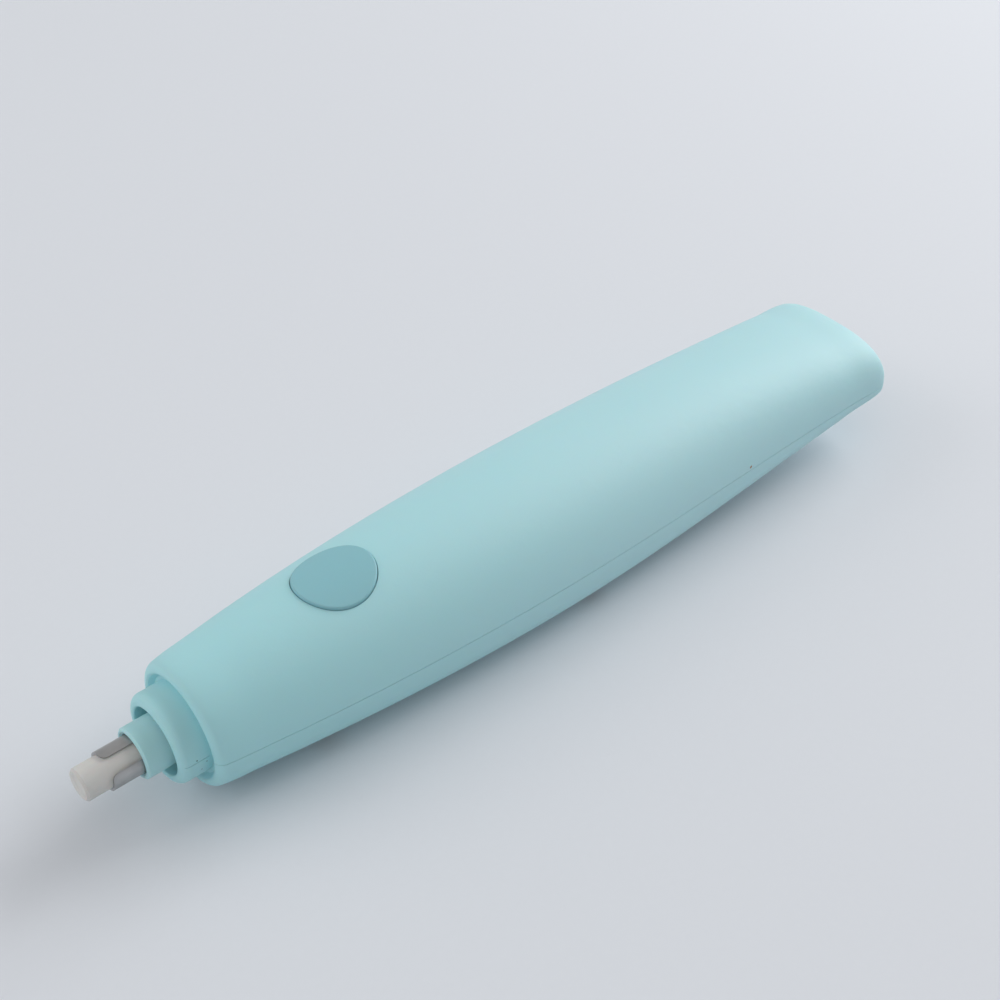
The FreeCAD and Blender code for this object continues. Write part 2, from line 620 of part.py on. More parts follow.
slots = shaped("jaw_slots", jaw_slot())
slots.Placement = FreeCAD.Placement(V(0, 0, size("axis_height")),
                                    FreeCAD.Rotation(V(1, 0, 0), size("slot_turn") - 90))
collet = node(cut("collet_body", collet_tube, slots), "collet")

SEAT_START = "sleeve_inside - collet_seat"
nose_sleeve = node(turned("sleeve", [
    ("-sleeve_reach", "sleeve_bore + sleeve_edge"), ("-sleeve_reach", "sleeve_radius - sleeve_edge"),
    ("-sleeve_reach + sleeve_edge", "sleeve_radius"), ("sleeve_inside", "sleeve_radius"),
    ("sleeve_inside", COLLET_RADIUS + " + press_fit"), (SEAT_START, COLLET_RADIUS + " + press_fit"),
    (SEAT_START, "sleeve_bore"), ("-sleeve_reach + sleeve_edge", "sleeve_bore")]), "nose_sleeve")
SOCKET_END = "hub_end - shaft_socket"
chuck_hub = node(turned("hub", [
    (SEAT_START, "0"), (SEAT_START, COLLET_BORE + " - press_fit"),
    ("sleeve_inside", COLLET_BORE + " - press_fit"), ("sleeve_inside", "sleeve_radius"),
    ("sleeve_inside + collar_length", "sleeve_radius"), ("sleeve_inside + collar_length", "hub_radius"),
    ("hub_end", "hub_radius"), ("hub_end", "shaft_radius + press_fit"),
    (SOCKET_END, "shaft_radius + press_fit"), (SOCKET_END, "0")]), "chuck_hub")
spindle_bush = node(turned("bush", [
    ("bush_front", "hub_radius + running_fit"), ("bush_front", "bush_radius"),
    ("bush_front + bush_length", "bush_radius"),
    ("bush_front + bush_length", "hub_radius + running_fit")]),
    "spindle_bush")

# ---------------------------------------------------------------- motor
MOTOR_REAR = "motor_front + motor_length"
CAP_REAR = MOTOR_REAR + " + cap_length"
SHAFT_END = CAP_REAR + " + cap_boss"
CORE_FRONT = "motor_front + core_start"
CORE_REAR = CORE_FRONT + " + core_length"
MAGNET_BORE = "(motor_flat - can_gauge)"
CORE_RADIUS = "(motor_flat - can_gauge - air_gap)"


def flat_sided(name, radius, flat, start, end):
    """A round bar with two flats, the motor's own outline."""
    return meet(name, [
        rod(name + "_round", radius, start, end),
        box(name + "_band", (start, end), ("-(%s)" % radius, radius),
            ("axis_height - (%s)" % flat, "axis_height + (%s)" % flat))])


motor_can = node(cut(
    "can_body",
    join("can_blank", [flat_sided("can_outside", "motor_radius", "motor_flat", "motor_front", MOTOR_REAR),
                       rod("can_boss", "boss_radius", "motor_front - boss_length",
                           "motor_front + can_gauge")]),
    flat_sided("can_inside", "motor_radius - can_gauge", "motor_flat - can_gauge",
               "motor_front + can_gauge", MOTOR_REAR + " + wall"),
    rod("can_bore", "motor_bush_radius + press_fit", "motor_front - boss_length - wall",
        "motor_front + wall")), "motor_can")
front_bush = node(turned("motor_bush_front", [
    ("motor_front - boss_length", "shaft_radius + running_fit"),
    ("motor_front - boss_length", "motor_bush_radius"),
    ("motor_front - boss_length + motor_bush_length", "motor_bush_radius"),
    ("motor_front - boss_length + motor_bush_length", "shaft_radius + running_fit")]),
    "motor_front_bush")
rear_bush = node(turned("motor_bush_rear", [
    (SHAFT_END + " - motor_bush_length", "shaft_radius + running_fit"),
    (SHAFT_END + " - motor_bush_length", "motor_bush_radius"),
    (SHAFT_END, "motor_bush_radius"), (SHAFT_END, "shaft_radius + running_fit")]), "motor_rear_bush")
motor_shaft = node(rod("shaft", "shaft_radius", SOCKET_END + " + press_fit", SHAFT_END + " + press_fit"),
                   "motor_shaft")

magnet_ring = cut(
    "magnet_ring",
    flat_sided("magnet_outside", "motor_radius - can_gauge - magnet_gap",
               "motor_flat - can_gauge * 2", CORE_FRONT + " - (magnet_length - core_length) / 2",
               CORE_REAR + " + (magnet_length - core_length) / 2"),
    rod("magnet_bore", MAGNET_BORE, "motor_front", MOTOR_REAR),
    box("magnet_split", ("motor_front", MOTOR_REAR), ("-pole_arm", "pole_arm"), (
        "axis_height - motor_flat", "axis_height + motor_flat")))
motor_magnets = node(magnet_ring, "motor_magnets")

motor_end_cap = node(cut(
    "cap_body",
    join("cap_blank", [
        flat_sided("cap_plug_form", "motor_radius - can_gauge - press_fit",
                   "motor_flat - can_gauge - press_fit", MOTOR_REAR + " - cap_plug", MOTOR_REAR),
        flat_sided("cap_plate", "motor_radius", "motor_flat", MOTOR_REAR, CAP_REAR),
        rod("cap_boss_form", "boss_radius + can_gauge", CAP_REAR, SHAFT_END)]),
    rod("cap_bush_seat", "motor_bush_radius + press_fit", SHAFT_END + " - motor_bush_length",
        SHAFT_END + " + wall"),
    rod("cap_shaft_hole", "shaft_radius + can_gauge", MOTOR_REAR + " - wall * 2", SHAFT_END),
    join("terminal_slots", [
        box("terminal_slot_%d" % side, (MOTOR_REAR + " - wall * 2", SHAFT_END),
            mirrored(side, "terminal_offset - press_fit",
                     "terminal_offset + terminal_gauge + press_fit"),
            ("axis_height - terminal_width / 2 - press_fit",
             "axis_height + terminal_width / 2 + press_fit")) for side in (-1, 1)])), "motor_end_cap")

# armature: three poles, three coils, and a commutator of three segments
POLE_TURNS = [90, 210, 330]


def armature_core():
    """Laminations with three T-shaped poles round a hub, on the shaft."""
    radius = size(CORE_RADIUS)
    front, length = size(CORE_FRONT), size("core_length")
    arm, tip, slot = size("pole_arm"), size("pole_tip"), size("pole_slot")
    bore = size("shaft_radius + press_fit")
    axis_x = V(1, 0, 0)
    shoe = Part.makeCylinder(radius, length, V(front, 0, 0), axis_x).cut(
        Part.makeCylinder(radius - tip, length, V(front, 0, 0), axis_x))
    hub = Part.makeCylinder(bore + arm / 2, length, V(front, 0, 0), axis_x)
    core = shoe.fuse(hub)
    for turn in POLE_TURNS:
        web = Part.makeBox(length, arm, radius - tip / 2, V(front, -arm / 2, 0))
        web.rotate(V(), axis_x, turn - 90)
        core = core.fuse(web)
    for turn in POLE_TURNS:
        gap = Part.makeBox(length, slot, radius, V(front, -slot / 2, bore + arm))
        gap.rotate(V(), axis_x, turn - 30)
        core = core.cut(gap)
    return core.cut(Part.makeCylinder(bore, length, V(front, 0, 0), axis_x)).removeSplitter()


def armature_coils():
    """One wound coil round each pole's arm, clear of the pole's shoe and of the next coil."""
    length = size("core_length")
    arm, width, end = size("pole_arm + press_fit * 2"), size("coil_width"), size("coil_end")
    low, high = size("shaft_radius + pole_arm / 2 + coil_clear"), size(CORE_RADIUS + " - pole_tip")
    wedge = math.radians(60)
    coils = []
    for turn in POLE_TURNS:
        depth = high - low - size("press_fit")
        coil = Part.makeBox(length + end * 2, width, depth, V(size(CORE_FRONT) - end, -width / 2, low))
        corners = [edge for edge in coil.Edges if abs(edge.tangentAt(edge.FirstParameter).z) > 0.99]
        coil = coil.makeFillet(size("coil_round"), corners)
        window = Part.makeBox(length + size("press_fit") * 2, arm, high,
                              V(size(CORE_FRONT) - size("press_fit"), -arm / 2, 0))
        side = size("motor_radius")
        sector = Part.Face(Part.makePolygon([
            V(0, 0, 0), V(0, -side * math.tan(wedge), side), V(0, side * math.tan(wedge), side),
            V(0, 0, 0)])).extrude(V(size(MOTOR_REAR), 0, 0))
        sector.translate(V(0, 0, size("press_fit") * 2))
        shoe = Part.makeCylinder(high - size("press_fit"), size(MOTOR_REAR), V(), V(1, 0, 0))
        coil = coil.cut(window).common(sector).common(shoe)
        coil.rotate(V(), V(1, 0, 0), turn - 90)
        coils.append(coil)
    return Part.makeCompound(coils)


def on_axis(thing):
    place(thing, "0", "0", "axis_height")
    return thing


armature = node(on_axis(shaped("core", armature_core())), "armature_core")
windings = node(on_axis(shaped("coils", armature_coils())), "armature_windings")


def commutator_body():
    """Three copper segments on an insulating core, split by narrow slits."""
    start, length = size("motor_front + commutator_start"), size("commutator_length")
    radius, inner = size("commutator_radius"), size("shaft_radius + press_fit")
    slit = size("segment_slit")
    axis_x = V(1, 0, 0)
    body = Part.makeCylinder(radius, length, V(start, 0, 0), axis_x)
    for turn in POLE_TURNS:
        gap = Part.makeBox(length, slit, radius, V(start, -slit / 2, inner + size("segment_root")))
        gap.rotate(V(), axis_x, turn - 60)
        body = body.cut(gap)
    return body.cut(Part.makeCylinder(inner, length, V(start, 0, 0), axis_x))


commutator = node(on_axis(shaped("commutator_form", commutator_body())), "commutator")
WASHERS = [("front", "motor_front - boss_length + motor_bush_length + washer_gap"),
           ("rear", MOTOR_REAR + " - cap_plug - washer_gauge - washer_gap")]
shaft_washers = node(join("washers", [
    turned("washer_" + end, [
        (start, "shaft_radius + press_fit"), (start, "washer_radius"),
        (start + " + washer_gauge", "washer_radius"),
        (start + " + washer_gauge", "shaft_radius + press_fit")]) for end, start in WASHERS]),
    "shaft_washers")

BRUSH_X = "motor_front + commutator_start + (commutator_length - brush_length) / 2"
BRUSH_FACE = "commutator_radius + press_fit"
BRUSH_BACK = BRUSH_FACE + " + brush_height"
motor_brushes = node(join("brush_pair", [
    box("brush_%d" % side, (BRUSH_X, BRUSH_X + " + brush_length"), mirrored(side, BRUSH_FACE, BRUSH_BACK),
        ("axis_height - brush_width / 2", "axis_height + brush_width / 2")) for side in (-1, 1)]),
    "motor_brushes")


def terminal(side):
    """A tab through the end cap, and the leaf that holds its brush against the commutator."""
    tall = ("axis_height - terminal_width / 2", "axis_height + terminal_width / 2")
    foot = MOTOR_REAR + " - cap_plug - terminal_gauge - press_fit"
    return [
        box("terminal_tab_%d" % side, (foot, CAP_REAR + " + terminal_reach"),
            mirrored(side, "terminal_offset", "terminal_offset + terminal_gauge"), tall),
        box("terminal_foot_%d" % side, (foot, foot + " + terminal_gauge"),
            mirrored(side, BRUSH_BACK, "terminal_offset + terminal_gauge"), tall),
        box("terminal_leaf_%d" % side, (BRUSH_X, foot + " + terminal_gauge"),
            mirrored(side, BRUSH_BACK, BRUSH_BACK + " + terminal_gauge / 2"), tall)]


motor_terminals = node(join("terminal_pair", terminal(1) + terminal(-1)), "motor_terminals")

# ---------------------------------------------------------------- batteries and contacts
def battery(name, side, nub_first, start):
    """One AAA cell: a can with its positive nub at one end."""
    body_start = start + " + battery_nub" if nub_first else start
    body_end = body_start + " + battery_body"
    nub_end = start if nub_first else body_end + " + battery_nub"
    outline = [(body_start, "0"), (body_start, "battery_radius"), (body_end, "battery_radius"),
               (body_end, "0")]
    nub = [(nub_end, "0"), (nub_end, "nub_radius")]
    if nub_first:
        outline = nub + [(body_start, "nub_radius")] + outline[1:]
    else:
        outline = outline[:3] + [(body_end, "nub_radius")] + nub[::-1]
    return turned(name, outline, "%s * battery_pitch / 2" % side, "battery_height")


battery_left = node(battery("cell_left", "1", True, CONTACT_REAR), "battery_left")
battery_right = node(battery("cell_right", "-1", False, RIGHT_CELL), "battery_right")


def front_contact(name, side):
    """A plate on the bulkhead, with the tab that a wire is soldered to."""
    middle = "%d * battery_pitch / 2" % side
    return [
        box(name + "_plate", ("bulkhead_front + bulkhead_gauge", CONTACT_REAR),
            (middle + " - contact_half", middle + " + contact_half"), ("contact_low", "contact_high")),
        box(name + "_tab", ("bulkhead_front - contact_tab / 2", CONTACT_REAR),
            (middle + " - contact_tab / 2", middle + " + contact_tab / 2"),
            ("contact_high - contact_gauge", "contact_high"))]


def tube(path, radius, arcs=6):
    """A round tube along a path, closed at both ends; its section is a ring of equal arcs."""
    first = path.Edges[0]
    circle = Part.Circle(first.valueAt(first.FirstParameter), first.tangentAt(first.FirstParameter),
                         radius)
    step = math.tau / arcs
    section = Part.Wire([Part.ArcOfCircle(circle, step * turn, step * (turn + 1)).toShape()
                         for turn in range(arcs)])
    return path.makePipeShell([section], True, False)


def coil_spring(name, start, room, side, toward):
    """A coned contact spring along X: its wide turn lies on the plate at start."""
    thick = size("spring_wire")
    height = size(room) - thick * 2
    lean = math.degrees(math.atan2(size("spring_wide - spring_narrow"), height))
    pitch = height / size("spring_turns")
    coil = shaped(name, tube(Part.makeHelix(pitch, height, size("spring_wide"), -lean), thick))
    coil.Placement = FreeCAD.Placement(V(), FreeCAD.Rotation(V(0, 1, 0), 90 * toward))
    place(coil, "%s + %d * spring_wire" % (start, toward), "%d * battery_pitch / 2" % side,
          "battery_height")
    return coil


positive_contact = node(join("positive_pieces", front_contact("positive", 1)), "positive_contact")
negative_contact = node(join("negative_pieces", front_contact("negative", -1)), "negative_contact")
negative_spring = node(coil_spring("spring_front", CONTACT_REAR, "spring_room", -1, 1),
                       "negative_spring")
CELL_END = CONTACT_REAR + " + battery_nub + battery_body"
bridge_contact = node(box(
    "bridge_plate", ("bridge_x", "bridge_x + contact_gauge"),
    ("-battery_pitch / 2 - contact_half", "battery_pitch / 2 + contact_half"),
    ("contact_low", "contact_high")), "bridge_contact")
bridge_spring = node(coil_spring("spring_rear", "bridge_x", "bridge_x - (%s)" % CELL_END, 1, -1),
                     "bridge_spring")

# ---------------------------------------------------------------- screws
case_screws = node(join("screw_set", [
    screw_rods("screw_shanks", "screw_radius", "head_seat", "screw_tip"),
    screw_rods("screw_heads", "screw_head", "head_seat - head_height", "head_seat")]), "case_screws")


# ---------------------------------------------------------------- wires
BEND_SHARE = 0.45


def wire(name, points):
    """A held wire: straight runs joined by tangent arcs as large as the runs allow."""
    spots = [V(*[size(value) for value in point]) for point in points]
    edges = []
    start = spots[0]
    for before, corner, after in zip(spots, spots[1:], spots[2:]):
        back, ahead = before - corner, after - corner
        turn = math.pi - back.getAngle(ahead)
        trim = BEND_SHARE * min(back.Length, ahead.Length)
        radius = trim / math.tan(turn / 2)
        back.normalize()
        ahead.normalize()
        enter, leave = corner + back * trim, corner + ahead * trim
        inward = back + ahead
        inward.normalize()
        depth = math.hypot(radius, trim) - radius
        edges.append(Part.makeLine(start, enter))
        edges.append(Part.Arc(enter, corner + inward * depth, leave).toShape())
        start = leave
    edges.append(Part.makeLine(start, spots[-1]))
    path = Part.Wire(edges)
    body = tube(path, size("wire_radius"))
    expected = math.pi * size("wire_radius") ** 2 * path.Length
    print("%s: length %.1f mm, volume %.3f of its section times its length"
          % (name, path.Length, body.Volume / expected))
    return shaped(name, body)


LANE_HIGH = "axis_height + motor_flat + wire_radius + wire_slot"
SOLDER = BOARD_TOP + " + wire_radius + press_fit"
TAB_TOP = "contact_high + wire_radius + press_fit"
TERMINAL_END = CAP_REAR + " + terminal_reach"
TAB_FRONT = "bulkhead_front - contact_tab / 2"
LANE_REAR = "motor_front + motor_length - wall"
LANE_FRONT = "motor_front - wire_radius * 3"
BOARD_DROP = "board_rear + wire_radius"
BOARD_PAD = "board_rear - pad_inset"
PAD_Y = "wire_lane + wire_radius * 2"
TERMINAL_Z = "axis_height + terminal_width / 2 + wire_radius + press_fit"
wire_red = node(wire("red", [
    (TAB_FRONT, "battery_pitch / 2", TAB_TOP),
    ("bulkhead_front - contact_tab", "wire_lane + wire_radius", LANE_HIGH),
    (LANE_REAR, "wire_lane", LANE_HIGH), (LANE_FRONT, "wire_lane", LANE_HIGH),
    (BOARD_DROP, PAD_Y, SOLDER + " + wall"), (BOARD_PAD, PAD_Y, SOLDER)]), "wire_red")
wire_switched = node(wire("switched", [
    (TERMINAL_END + " - wire_radius * 2", "-terminal_offset - terminal_gauge / 2", TERMINAL_Z),
    (TERMINAL_END + " - wire_radius * 1.5", "-terminal_offset - terminal_gauge",
     TERMINAL_Z + " + terminal_width * 2"),
    (TERMINAL_END + " - wire_radius * 2", "-wire_lane - wire_radius * 2", LANE_HIGH),
    (LANE_REAR, "-wire_lane", LANE_HIGH), (LANE_FRONT, "-wire_lane", LANE_HIGH),
    (BOARD_DROP, "-(%s)" % PAD_Y, SOLDER + " + wall"), (BOARD_PAD, "-(%s)" % PAD_Y, SOLDER)]),
    "wire_switched")
TAB_UNDER = "contact_high - contact_gauge - wire_radius - press_fit"
wire_black = node(wire("black", [
    (TAB_FRONT + " + wire_slot", "-battery_pitch / 2", TAB_UNDER),
    (TERMINAL_END + " + wire_slot", "-battery_pitch / 4", TAB_UNDER + " - wall"),
    (TERMINAL_END + " + wire_slot", "battery_pitch / 4", TAB_UNDER + " - wall"),
    (TERMINAL_END + " - wire_radius * 2", "terminal_offset + terminal_gauge / 2", TERMINAL_Z)]),
    "wire_black")

# ---------------------------------------------------------------- check and write
doc.recompute()
for thing in doc.Objects:
    if "Invalid" in thing.State or "Error" in thing.State:
        raise RuntimeError("%s failed: %s" % (thing.Label, thing.State))
labels = [thing.Label for thing in NODES]
if len(set(labels)) != len(labels):
    raise RuntimeError("two pieces share a label")
for thing in NODES:
    if thing.Shape.isNull() or not thing.Shape.isValid() or thing.Shape.Volume <= 0:
        raise RuntimeError("%s has no sound shape" % thing.Label)
os.makedirs("parts", exist_ok=True)
for thing in NODES:
    thing.Shape.exportStep(os.path.join("parts", thing.Label + ".step"))
    print("%-20s %3d solids %9.2f mm3" % (thing.Label, len(thing.Shape.Solids), thing.Shape.Volume))
print("%d nodes" % len(NODES))
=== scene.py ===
# %% [markdown]
# # An electric eraser, dressed for its studio picture
#
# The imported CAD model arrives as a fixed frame: every solid is already in place, in metres, with
# X running from the eraser's tip to the tail and Z up. This lesson never moves those solids. It
# gives each one a finish, replaces the few whose surface has to be finer than the CAD's, and
# lights the result.

# %% Load the frame
import math

import bpy
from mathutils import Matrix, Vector


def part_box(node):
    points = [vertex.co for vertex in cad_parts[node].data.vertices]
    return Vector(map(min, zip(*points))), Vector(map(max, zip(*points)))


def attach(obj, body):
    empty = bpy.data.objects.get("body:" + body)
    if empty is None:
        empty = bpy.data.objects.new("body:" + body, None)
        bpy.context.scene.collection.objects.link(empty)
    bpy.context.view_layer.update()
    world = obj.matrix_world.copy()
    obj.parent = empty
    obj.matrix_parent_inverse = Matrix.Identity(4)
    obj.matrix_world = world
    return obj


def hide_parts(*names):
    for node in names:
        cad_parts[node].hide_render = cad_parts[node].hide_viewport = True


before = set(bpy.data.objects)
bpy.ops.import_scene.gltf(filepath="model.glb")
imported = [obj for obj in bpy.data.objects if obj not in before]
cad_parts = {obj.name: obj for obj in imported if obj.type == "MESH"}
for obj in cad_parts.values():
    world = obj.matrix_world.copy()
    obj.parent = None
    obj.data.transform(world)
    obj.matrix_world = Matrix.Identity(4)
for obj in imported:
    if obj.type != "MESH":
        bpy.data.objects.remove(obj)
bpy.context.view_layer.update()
MM = 0.001
scene = bpy.context.scene

# %% [markdown]
# ## Arithmetic on sockets
#
# A material and a Geometry Nodes tree are both made of nodes joined by links. Written out node by
# node, a formula of three terms takes a screenful. The class below wraps one output socket, so
# that `mask * 0.3 + 1` adds the Math nodes by itself, and one method adds any other node.

# %% A socket that Python can calculate with
class Field:
    """One output socket of a node tree. Arithmetic on it adds Math nodes."""

    def __init__(self, tree, socket):
        self.tree = tree
        self.socket = socket

    def node(self, kind, settings=None, inputs=None, output=0):
        """Adds a node: its type, its settings, then the values or links of its inputs."""
        made = self.tree.nodes.new(kind)
        for name, value in (settings or {}).items():
            setattr(made, name, value)
        for name, value in (inputs or {}).items():
            if isinstance(value, Field):
                self.tree.links.new(value.socket, made.inputs[name])
            else:
                made.inputs[name].default_value = value
        return Field(self.tree, made.outputs[output])

    def maths(self, operation, *values):
        return self.node("ShaderNodeMath", {"operation": operation}, dict(enumerate(values)))

    def __add__(self, other):
        return self.maths("ADD", self, other)

    __radd__ = __add__

    def __sub__(self, other):
        return self.maths("SUBTRACT", self, other)

    def __rsub__(self, other):
        return self.maths("SUBTRACT", other, self)

    def __mul__(self, other):
        return self.maths("MULTIPLY", self, other)

    __rmul__ = __mul__

    def __truediv__(self, other):
        return self.maths("DIVIDE", self, other)

    def __rtruediv__(self, other):
        return self.maths("DIVIDE", other, self)

    def between(self, low, high):
        """0 below low, 1 above high, and a soft step from one to the other."""
        return self.node("ShaderNodeMapRange", {"interpolation_type": "SMOOTHSTEP"},
                         {"Value": self, "From Min": low, "From Max": high})


print("Field is ready")

# %% [markdown]
# ## Patterns that every finish is made of
#
# Real surfaces vary at two scales: a slow drift of colour over centimetres, and a fine texture
# that only bends the reflections. All the patterns read Object coordinates. Each object's origin
# is the frame's origin, so a scale of 1000 makes features of about a millimetre.

# %% Noise, bump and colour mixing
# a Mix node has a set of sockets for each type of data; these are the factor's and the colour's
MIX_FACTOR, MIX_A, MIX_B, MIX_RESULT = 0, 6, 7, 2


def noise(place, scale, detail=2.0, roughness=0.5, stretch=None):
    """Soft noise from 0 to 1, at scale features to the metre, stretched along an axis."""
    if stretch:
        place = place.node("ShaderNodeMapping", {"vector_type": "POINT"},
                           {"Vector": place, "Scale": stretch})
    return place.node("ShaderNodeTexNoise", None, {
        "Vector": place, "Scale": scale, "Detail": detail, "Roughness": roughness})


def blend_colours(mask, low, high):
    """low where the mask is 0 and high where it is 1; either may be a colour or a link."""
    return mask.node("ShaderNodeMix", {"data_type": "RGBA"},
                     {MIX_FACTOR: mask, MIX_A: low, MIX_B: high}, output=MIX_RESULT)


def bump(height, distance, strength=1.0):
    """A normal bent by a height pattern that stands up to distance metres."""
    return height.node("ShaderNodeBump", None,
                       {"Height": height, "Distance": distance, "Strength": strength})


def along(place, axis):
    """One coordinate, in metres."""
    return place.node("ShaderNodeSeparateXYZ", None, {0: place}, output="XYZ".index(axis))


def finish(name, look, **sockets):
    """A material. Constants go on the shader's own sockets, and look(place) gives the rest."""
    material = bpy.data.materials.new(name)
    material.use_nodes = True
    tree = material.node_tree
    shader = tree.nodes["Principled BSDF"]
    for socket, value in sockets.items():
        shader.inputs[socket.replace("_", " ")].default_value = value
    coordinates = tree.nodes.new("ShaderNodeTexCoord")
    for socket, field in look(Field(tree, coordinates.outputs["Object"])).items():
        tree.links.new(field.socket, shader.inputs[socket])
    return material


def colour(red, green, blue):
    return (red, green, blue, 1.0)


print("patterns are ready")

# %% [markdown]
# ## The casing's plastic
#
# The shells are moulded in one satin, faintly translucent plastic. Up close its skin has a fine
# spark texture, which spreads the light's reflection instead of mirroring it. The colour is
# painted deeper towards the grip end and paler towards the tail: painted shade on the nose end
# away from the light, and painted light on the lit tail. Handling polishes the skin in broad
# patches, so the roughness drifts. The same builder makes the button and the sleeve, which the
# painted gradient changes little along their length.

# %% Satin plastic in three colours
# where the painted light along X ramps: painted shade at the grip end, painted light at the tail
PAINTED_LIGHT_START, PAINTED_LIGHT_END = -0.062, 0.035
SKIN_TEXTURE = 3200.0
SKIN_DEPTH = 0.00002


def satin_plastic(name, grip_tone, tail_tone, marks=(), gloss=0.47):
    """Satin plastic, painted deeper towards the grip and paler towards the tail as painted shade
    and painted light, with small marks given as (centre, radius, colour).
    """
    def look(place):
        drift = noise(place, 55.0, 3.0)
        grain = noise(place, SKIN_TEXTURE, 2.0)
        # painted light along X, deeper towards the grip and paler towards the tail, with a little
        # random drift
        painted_light_and_drift = along(place, "X").between(PAINTED_LIGHT_START, PAINTED_LIGHT_END) * 0.9 + drift * 0.1
        tone = blend_colours(painted_light_and_drift, grip_tone, tail_tone)
        height = grain
        for centre, radius, mark_tone in marks:
            gap = place.node("ShaderNodeVectorMath", {"operation": "DISTANCE"},
                             {0: place, 1: centre}, output="Value")
            ragged = gap + (noise(place, 6000.0) - 0.5) * radius
            spot = 1 - ragged.between(radius * 0.6, radius)
            # a mark's colour is a real stain for the rust, and painted shade for the dark pits
            tone = blend_colours(spot, tone, mark_tone)
            height = height - spot
        return {
            "Base Color": tone,
            "Roughness": gloss + 0.10 * drift + 0.05 * grain,
            "Normal": bump(height, SKIN_DEPTH, 0.35),
        }
    return finish(name, look, IOR=1.5, Subsurface_Weight=0.12, Subsurface_Scale=0.0012)


# three small pits beside the parting line on the neck ring, darkened with painted shade, and one
# rusty speck further back
PIT_SHADE, RUST = colour(0.03, 0.09, 0.085), colour(0.32, 0.12, 0.02)
casing_marks = [
    (Vector((-61.62, -6.93, 11.58)) * MM, 0.14 * MM, PIT_SHADE),
    (Vector((-60.16, -6.90, 10.45)) * MM, 0.12 * MM, PIT_SHADE),
    (Vector((-60.96, -6.64, 9.18)) * MM, 0.10 * MM, PIT_SHADE),
    (Vector((39.93, -13.39, 11.88)) * MM, 0.30 * MM, RUST),
]
materials = {
    "casing": satin_plastic("casing_plastic", colour(0.40, 0.725, 0.765),
                            colour(0.475, 0.755, 0.80), casing_marks),
    "button": satin_plastic("button_plastic", colour(0.265, 0.54, 0.60),
                            colour(0.255, 0.525, 0.585)),
    "sleeve": satin_plastic("sleeve_plastic", colour(0.44, 0.745, 0.775),
                            colour(0.42, 0.72, 0.755)),
}
print("plastics:", ", ".join(materials))

# %% [markdown]
# ## The eraser's vinyl
#
# A vinyl eraser is white and matte, and the end that has worked is a little greyer and rougher. A
# mask along X, from the tip inwards, turns the wear on only where the stick rubs.

# %% Worn white vinyl
eraser_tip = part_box("eraser")[0].x
WORN_LENGTH = 2.5 * MM


def worn_vinyl(place):
    worn = 1 - along(place, "X").between(eraser_tip, eraser_tip + WORN_LENGTH)
    smudge = noise(place, 700.0, 4.0, 0.65)
    crumbs = noise(place, 3600.0, 3.0)
    dirty = (worn * smudge.between(0.4, 0.75)) * 0.25 + 0.1 * smudge
    return {
        "Base Color": blend_colours(dirty, colour(0.66, 0.65, 0.625), colour(0.46, 0.45, 0.43)),
        "Roughness": 0.72 + 0.12 * crumbs,
        "Normal": bump(crumbs + 0.3 * worn * smudge, 0.00004, 0.4),
    }


materials["eraser"] = finish("eraser_vinyl", worn_vinyl, Subsurface_Weight=0.15,
                             Subsurface_Scale=0.0008)
print("eraser wears from x =", round(eraser_tip / MM, 1), "mm")

# %% [markdown]
# ## Metals
#
# A metal's look is nearly all in its roughness. Rolled spring steel shows streaks along its
# length, plated springs and contacts are smooth with small dull spots, a sintered bush is
# porous, and enamelled copper is glossy with a darker edge between turns. One builder takes the
# stretch of the streaks, so each metal is a line.

# %% Rolled, plated, sintered and wound metals
def metal(name, bright, dull, streaks, low, high, depth=0.000008):
    def look(place):
        grain = noise(place, 1500.0, 4.0, 0.6, stretch=streaks)
        mark_tone = noise(place, 260.0, 3.0)
        return {
            "Base Color": blend_colours(mark_tone.between(0.35, 0.75), bright, dull),
            "Roughness": low + (high - low) * grain + 0.08 * mark_tone,
            "Normal": bump(grain, depth, 0.4),
        }
    return finish(name, look, Metallic=1.0)


materials.update({
    "steel": metal("rolled_steel", colour(0.52, 0.515, 0.51), colour(0.43, 0.43, 0.43),
                   (0.06, 1.0, 1.0), 0.30, 0.50),
    "nickel": metal("nickel_plate", colour(0.72, 0.70, 0.66), colour(0.58, 0.56, 0.52),
                    (1.0, 1.0, 1.0), 0.16, 0.34),
    "bronze": metal("sintered_bronze", colour(0.50, 0.34, 0.19), colour(0.32, 0.21, 0.12),
                    (1.0, 1.0, 1.0), 0.45, 0.65, 0.00003),
    "brass": metal("stamped_brass", colour(0.72, 0.55, 0.26), colour(0.58, 0.43, 0.2),
                   (1.0, 0.1, 1.0), 0.25, 0.45),
    "copper": metal("enamelled_copper", colour(0.70, 0.33, 0.18), colour(0.50, 0.21, 0.10),
                    (0.05, 4.0, 4.0), 0.20, 0.40, 0.00004),
})
print("metals:", len(materials), "finishes so far")

# %% [markdown]
# ## Plastics, ceramic and rubber inside the casing
#
# The hidden pieces get the same care, because the battery door opens and the model may be taken
# apart. Each has its own grain: coarse for a pressed magnet, fine for a moulding, and glass
# fibre under the solder mask of the circuit board.

# %% Inside finishes
def moulding(name, tone, deep, scale, low, high, depth):
    def look(place):
        grain = noise(place, scale, 3.0)
        drift = noise(place, 120.0, 2.0)
        return {
            "Base Color": blend_colours(drift.between(0.3, 0.7), tone, deep),
            "Roughness": low + (high - low) * grain,
            "Normal": bump(grain, depth, 0.4),
        }
    return finish(name, look)


WEAVE = 9000.0


def wave(place, axis):
    """A sine along one axis, WEAVE radians to the metre."""
    angle = along(place, axis) * WEAVE
    return angle.maths("SINE", angle)


def board_look(place):
    glass = (wave(place, "X") * wave(place, "Y")).between(-0.2, 0.9)
    return {
        "Base Color": blend_colours(glass, colour(0.03, 0.17, 0.07), colour(0.05, 0.24, 0.10)),
        "Roughness": 0.28 + 0.12 * glass,
        "Normal": bump(glass, 0.00001, 0.3),
    }


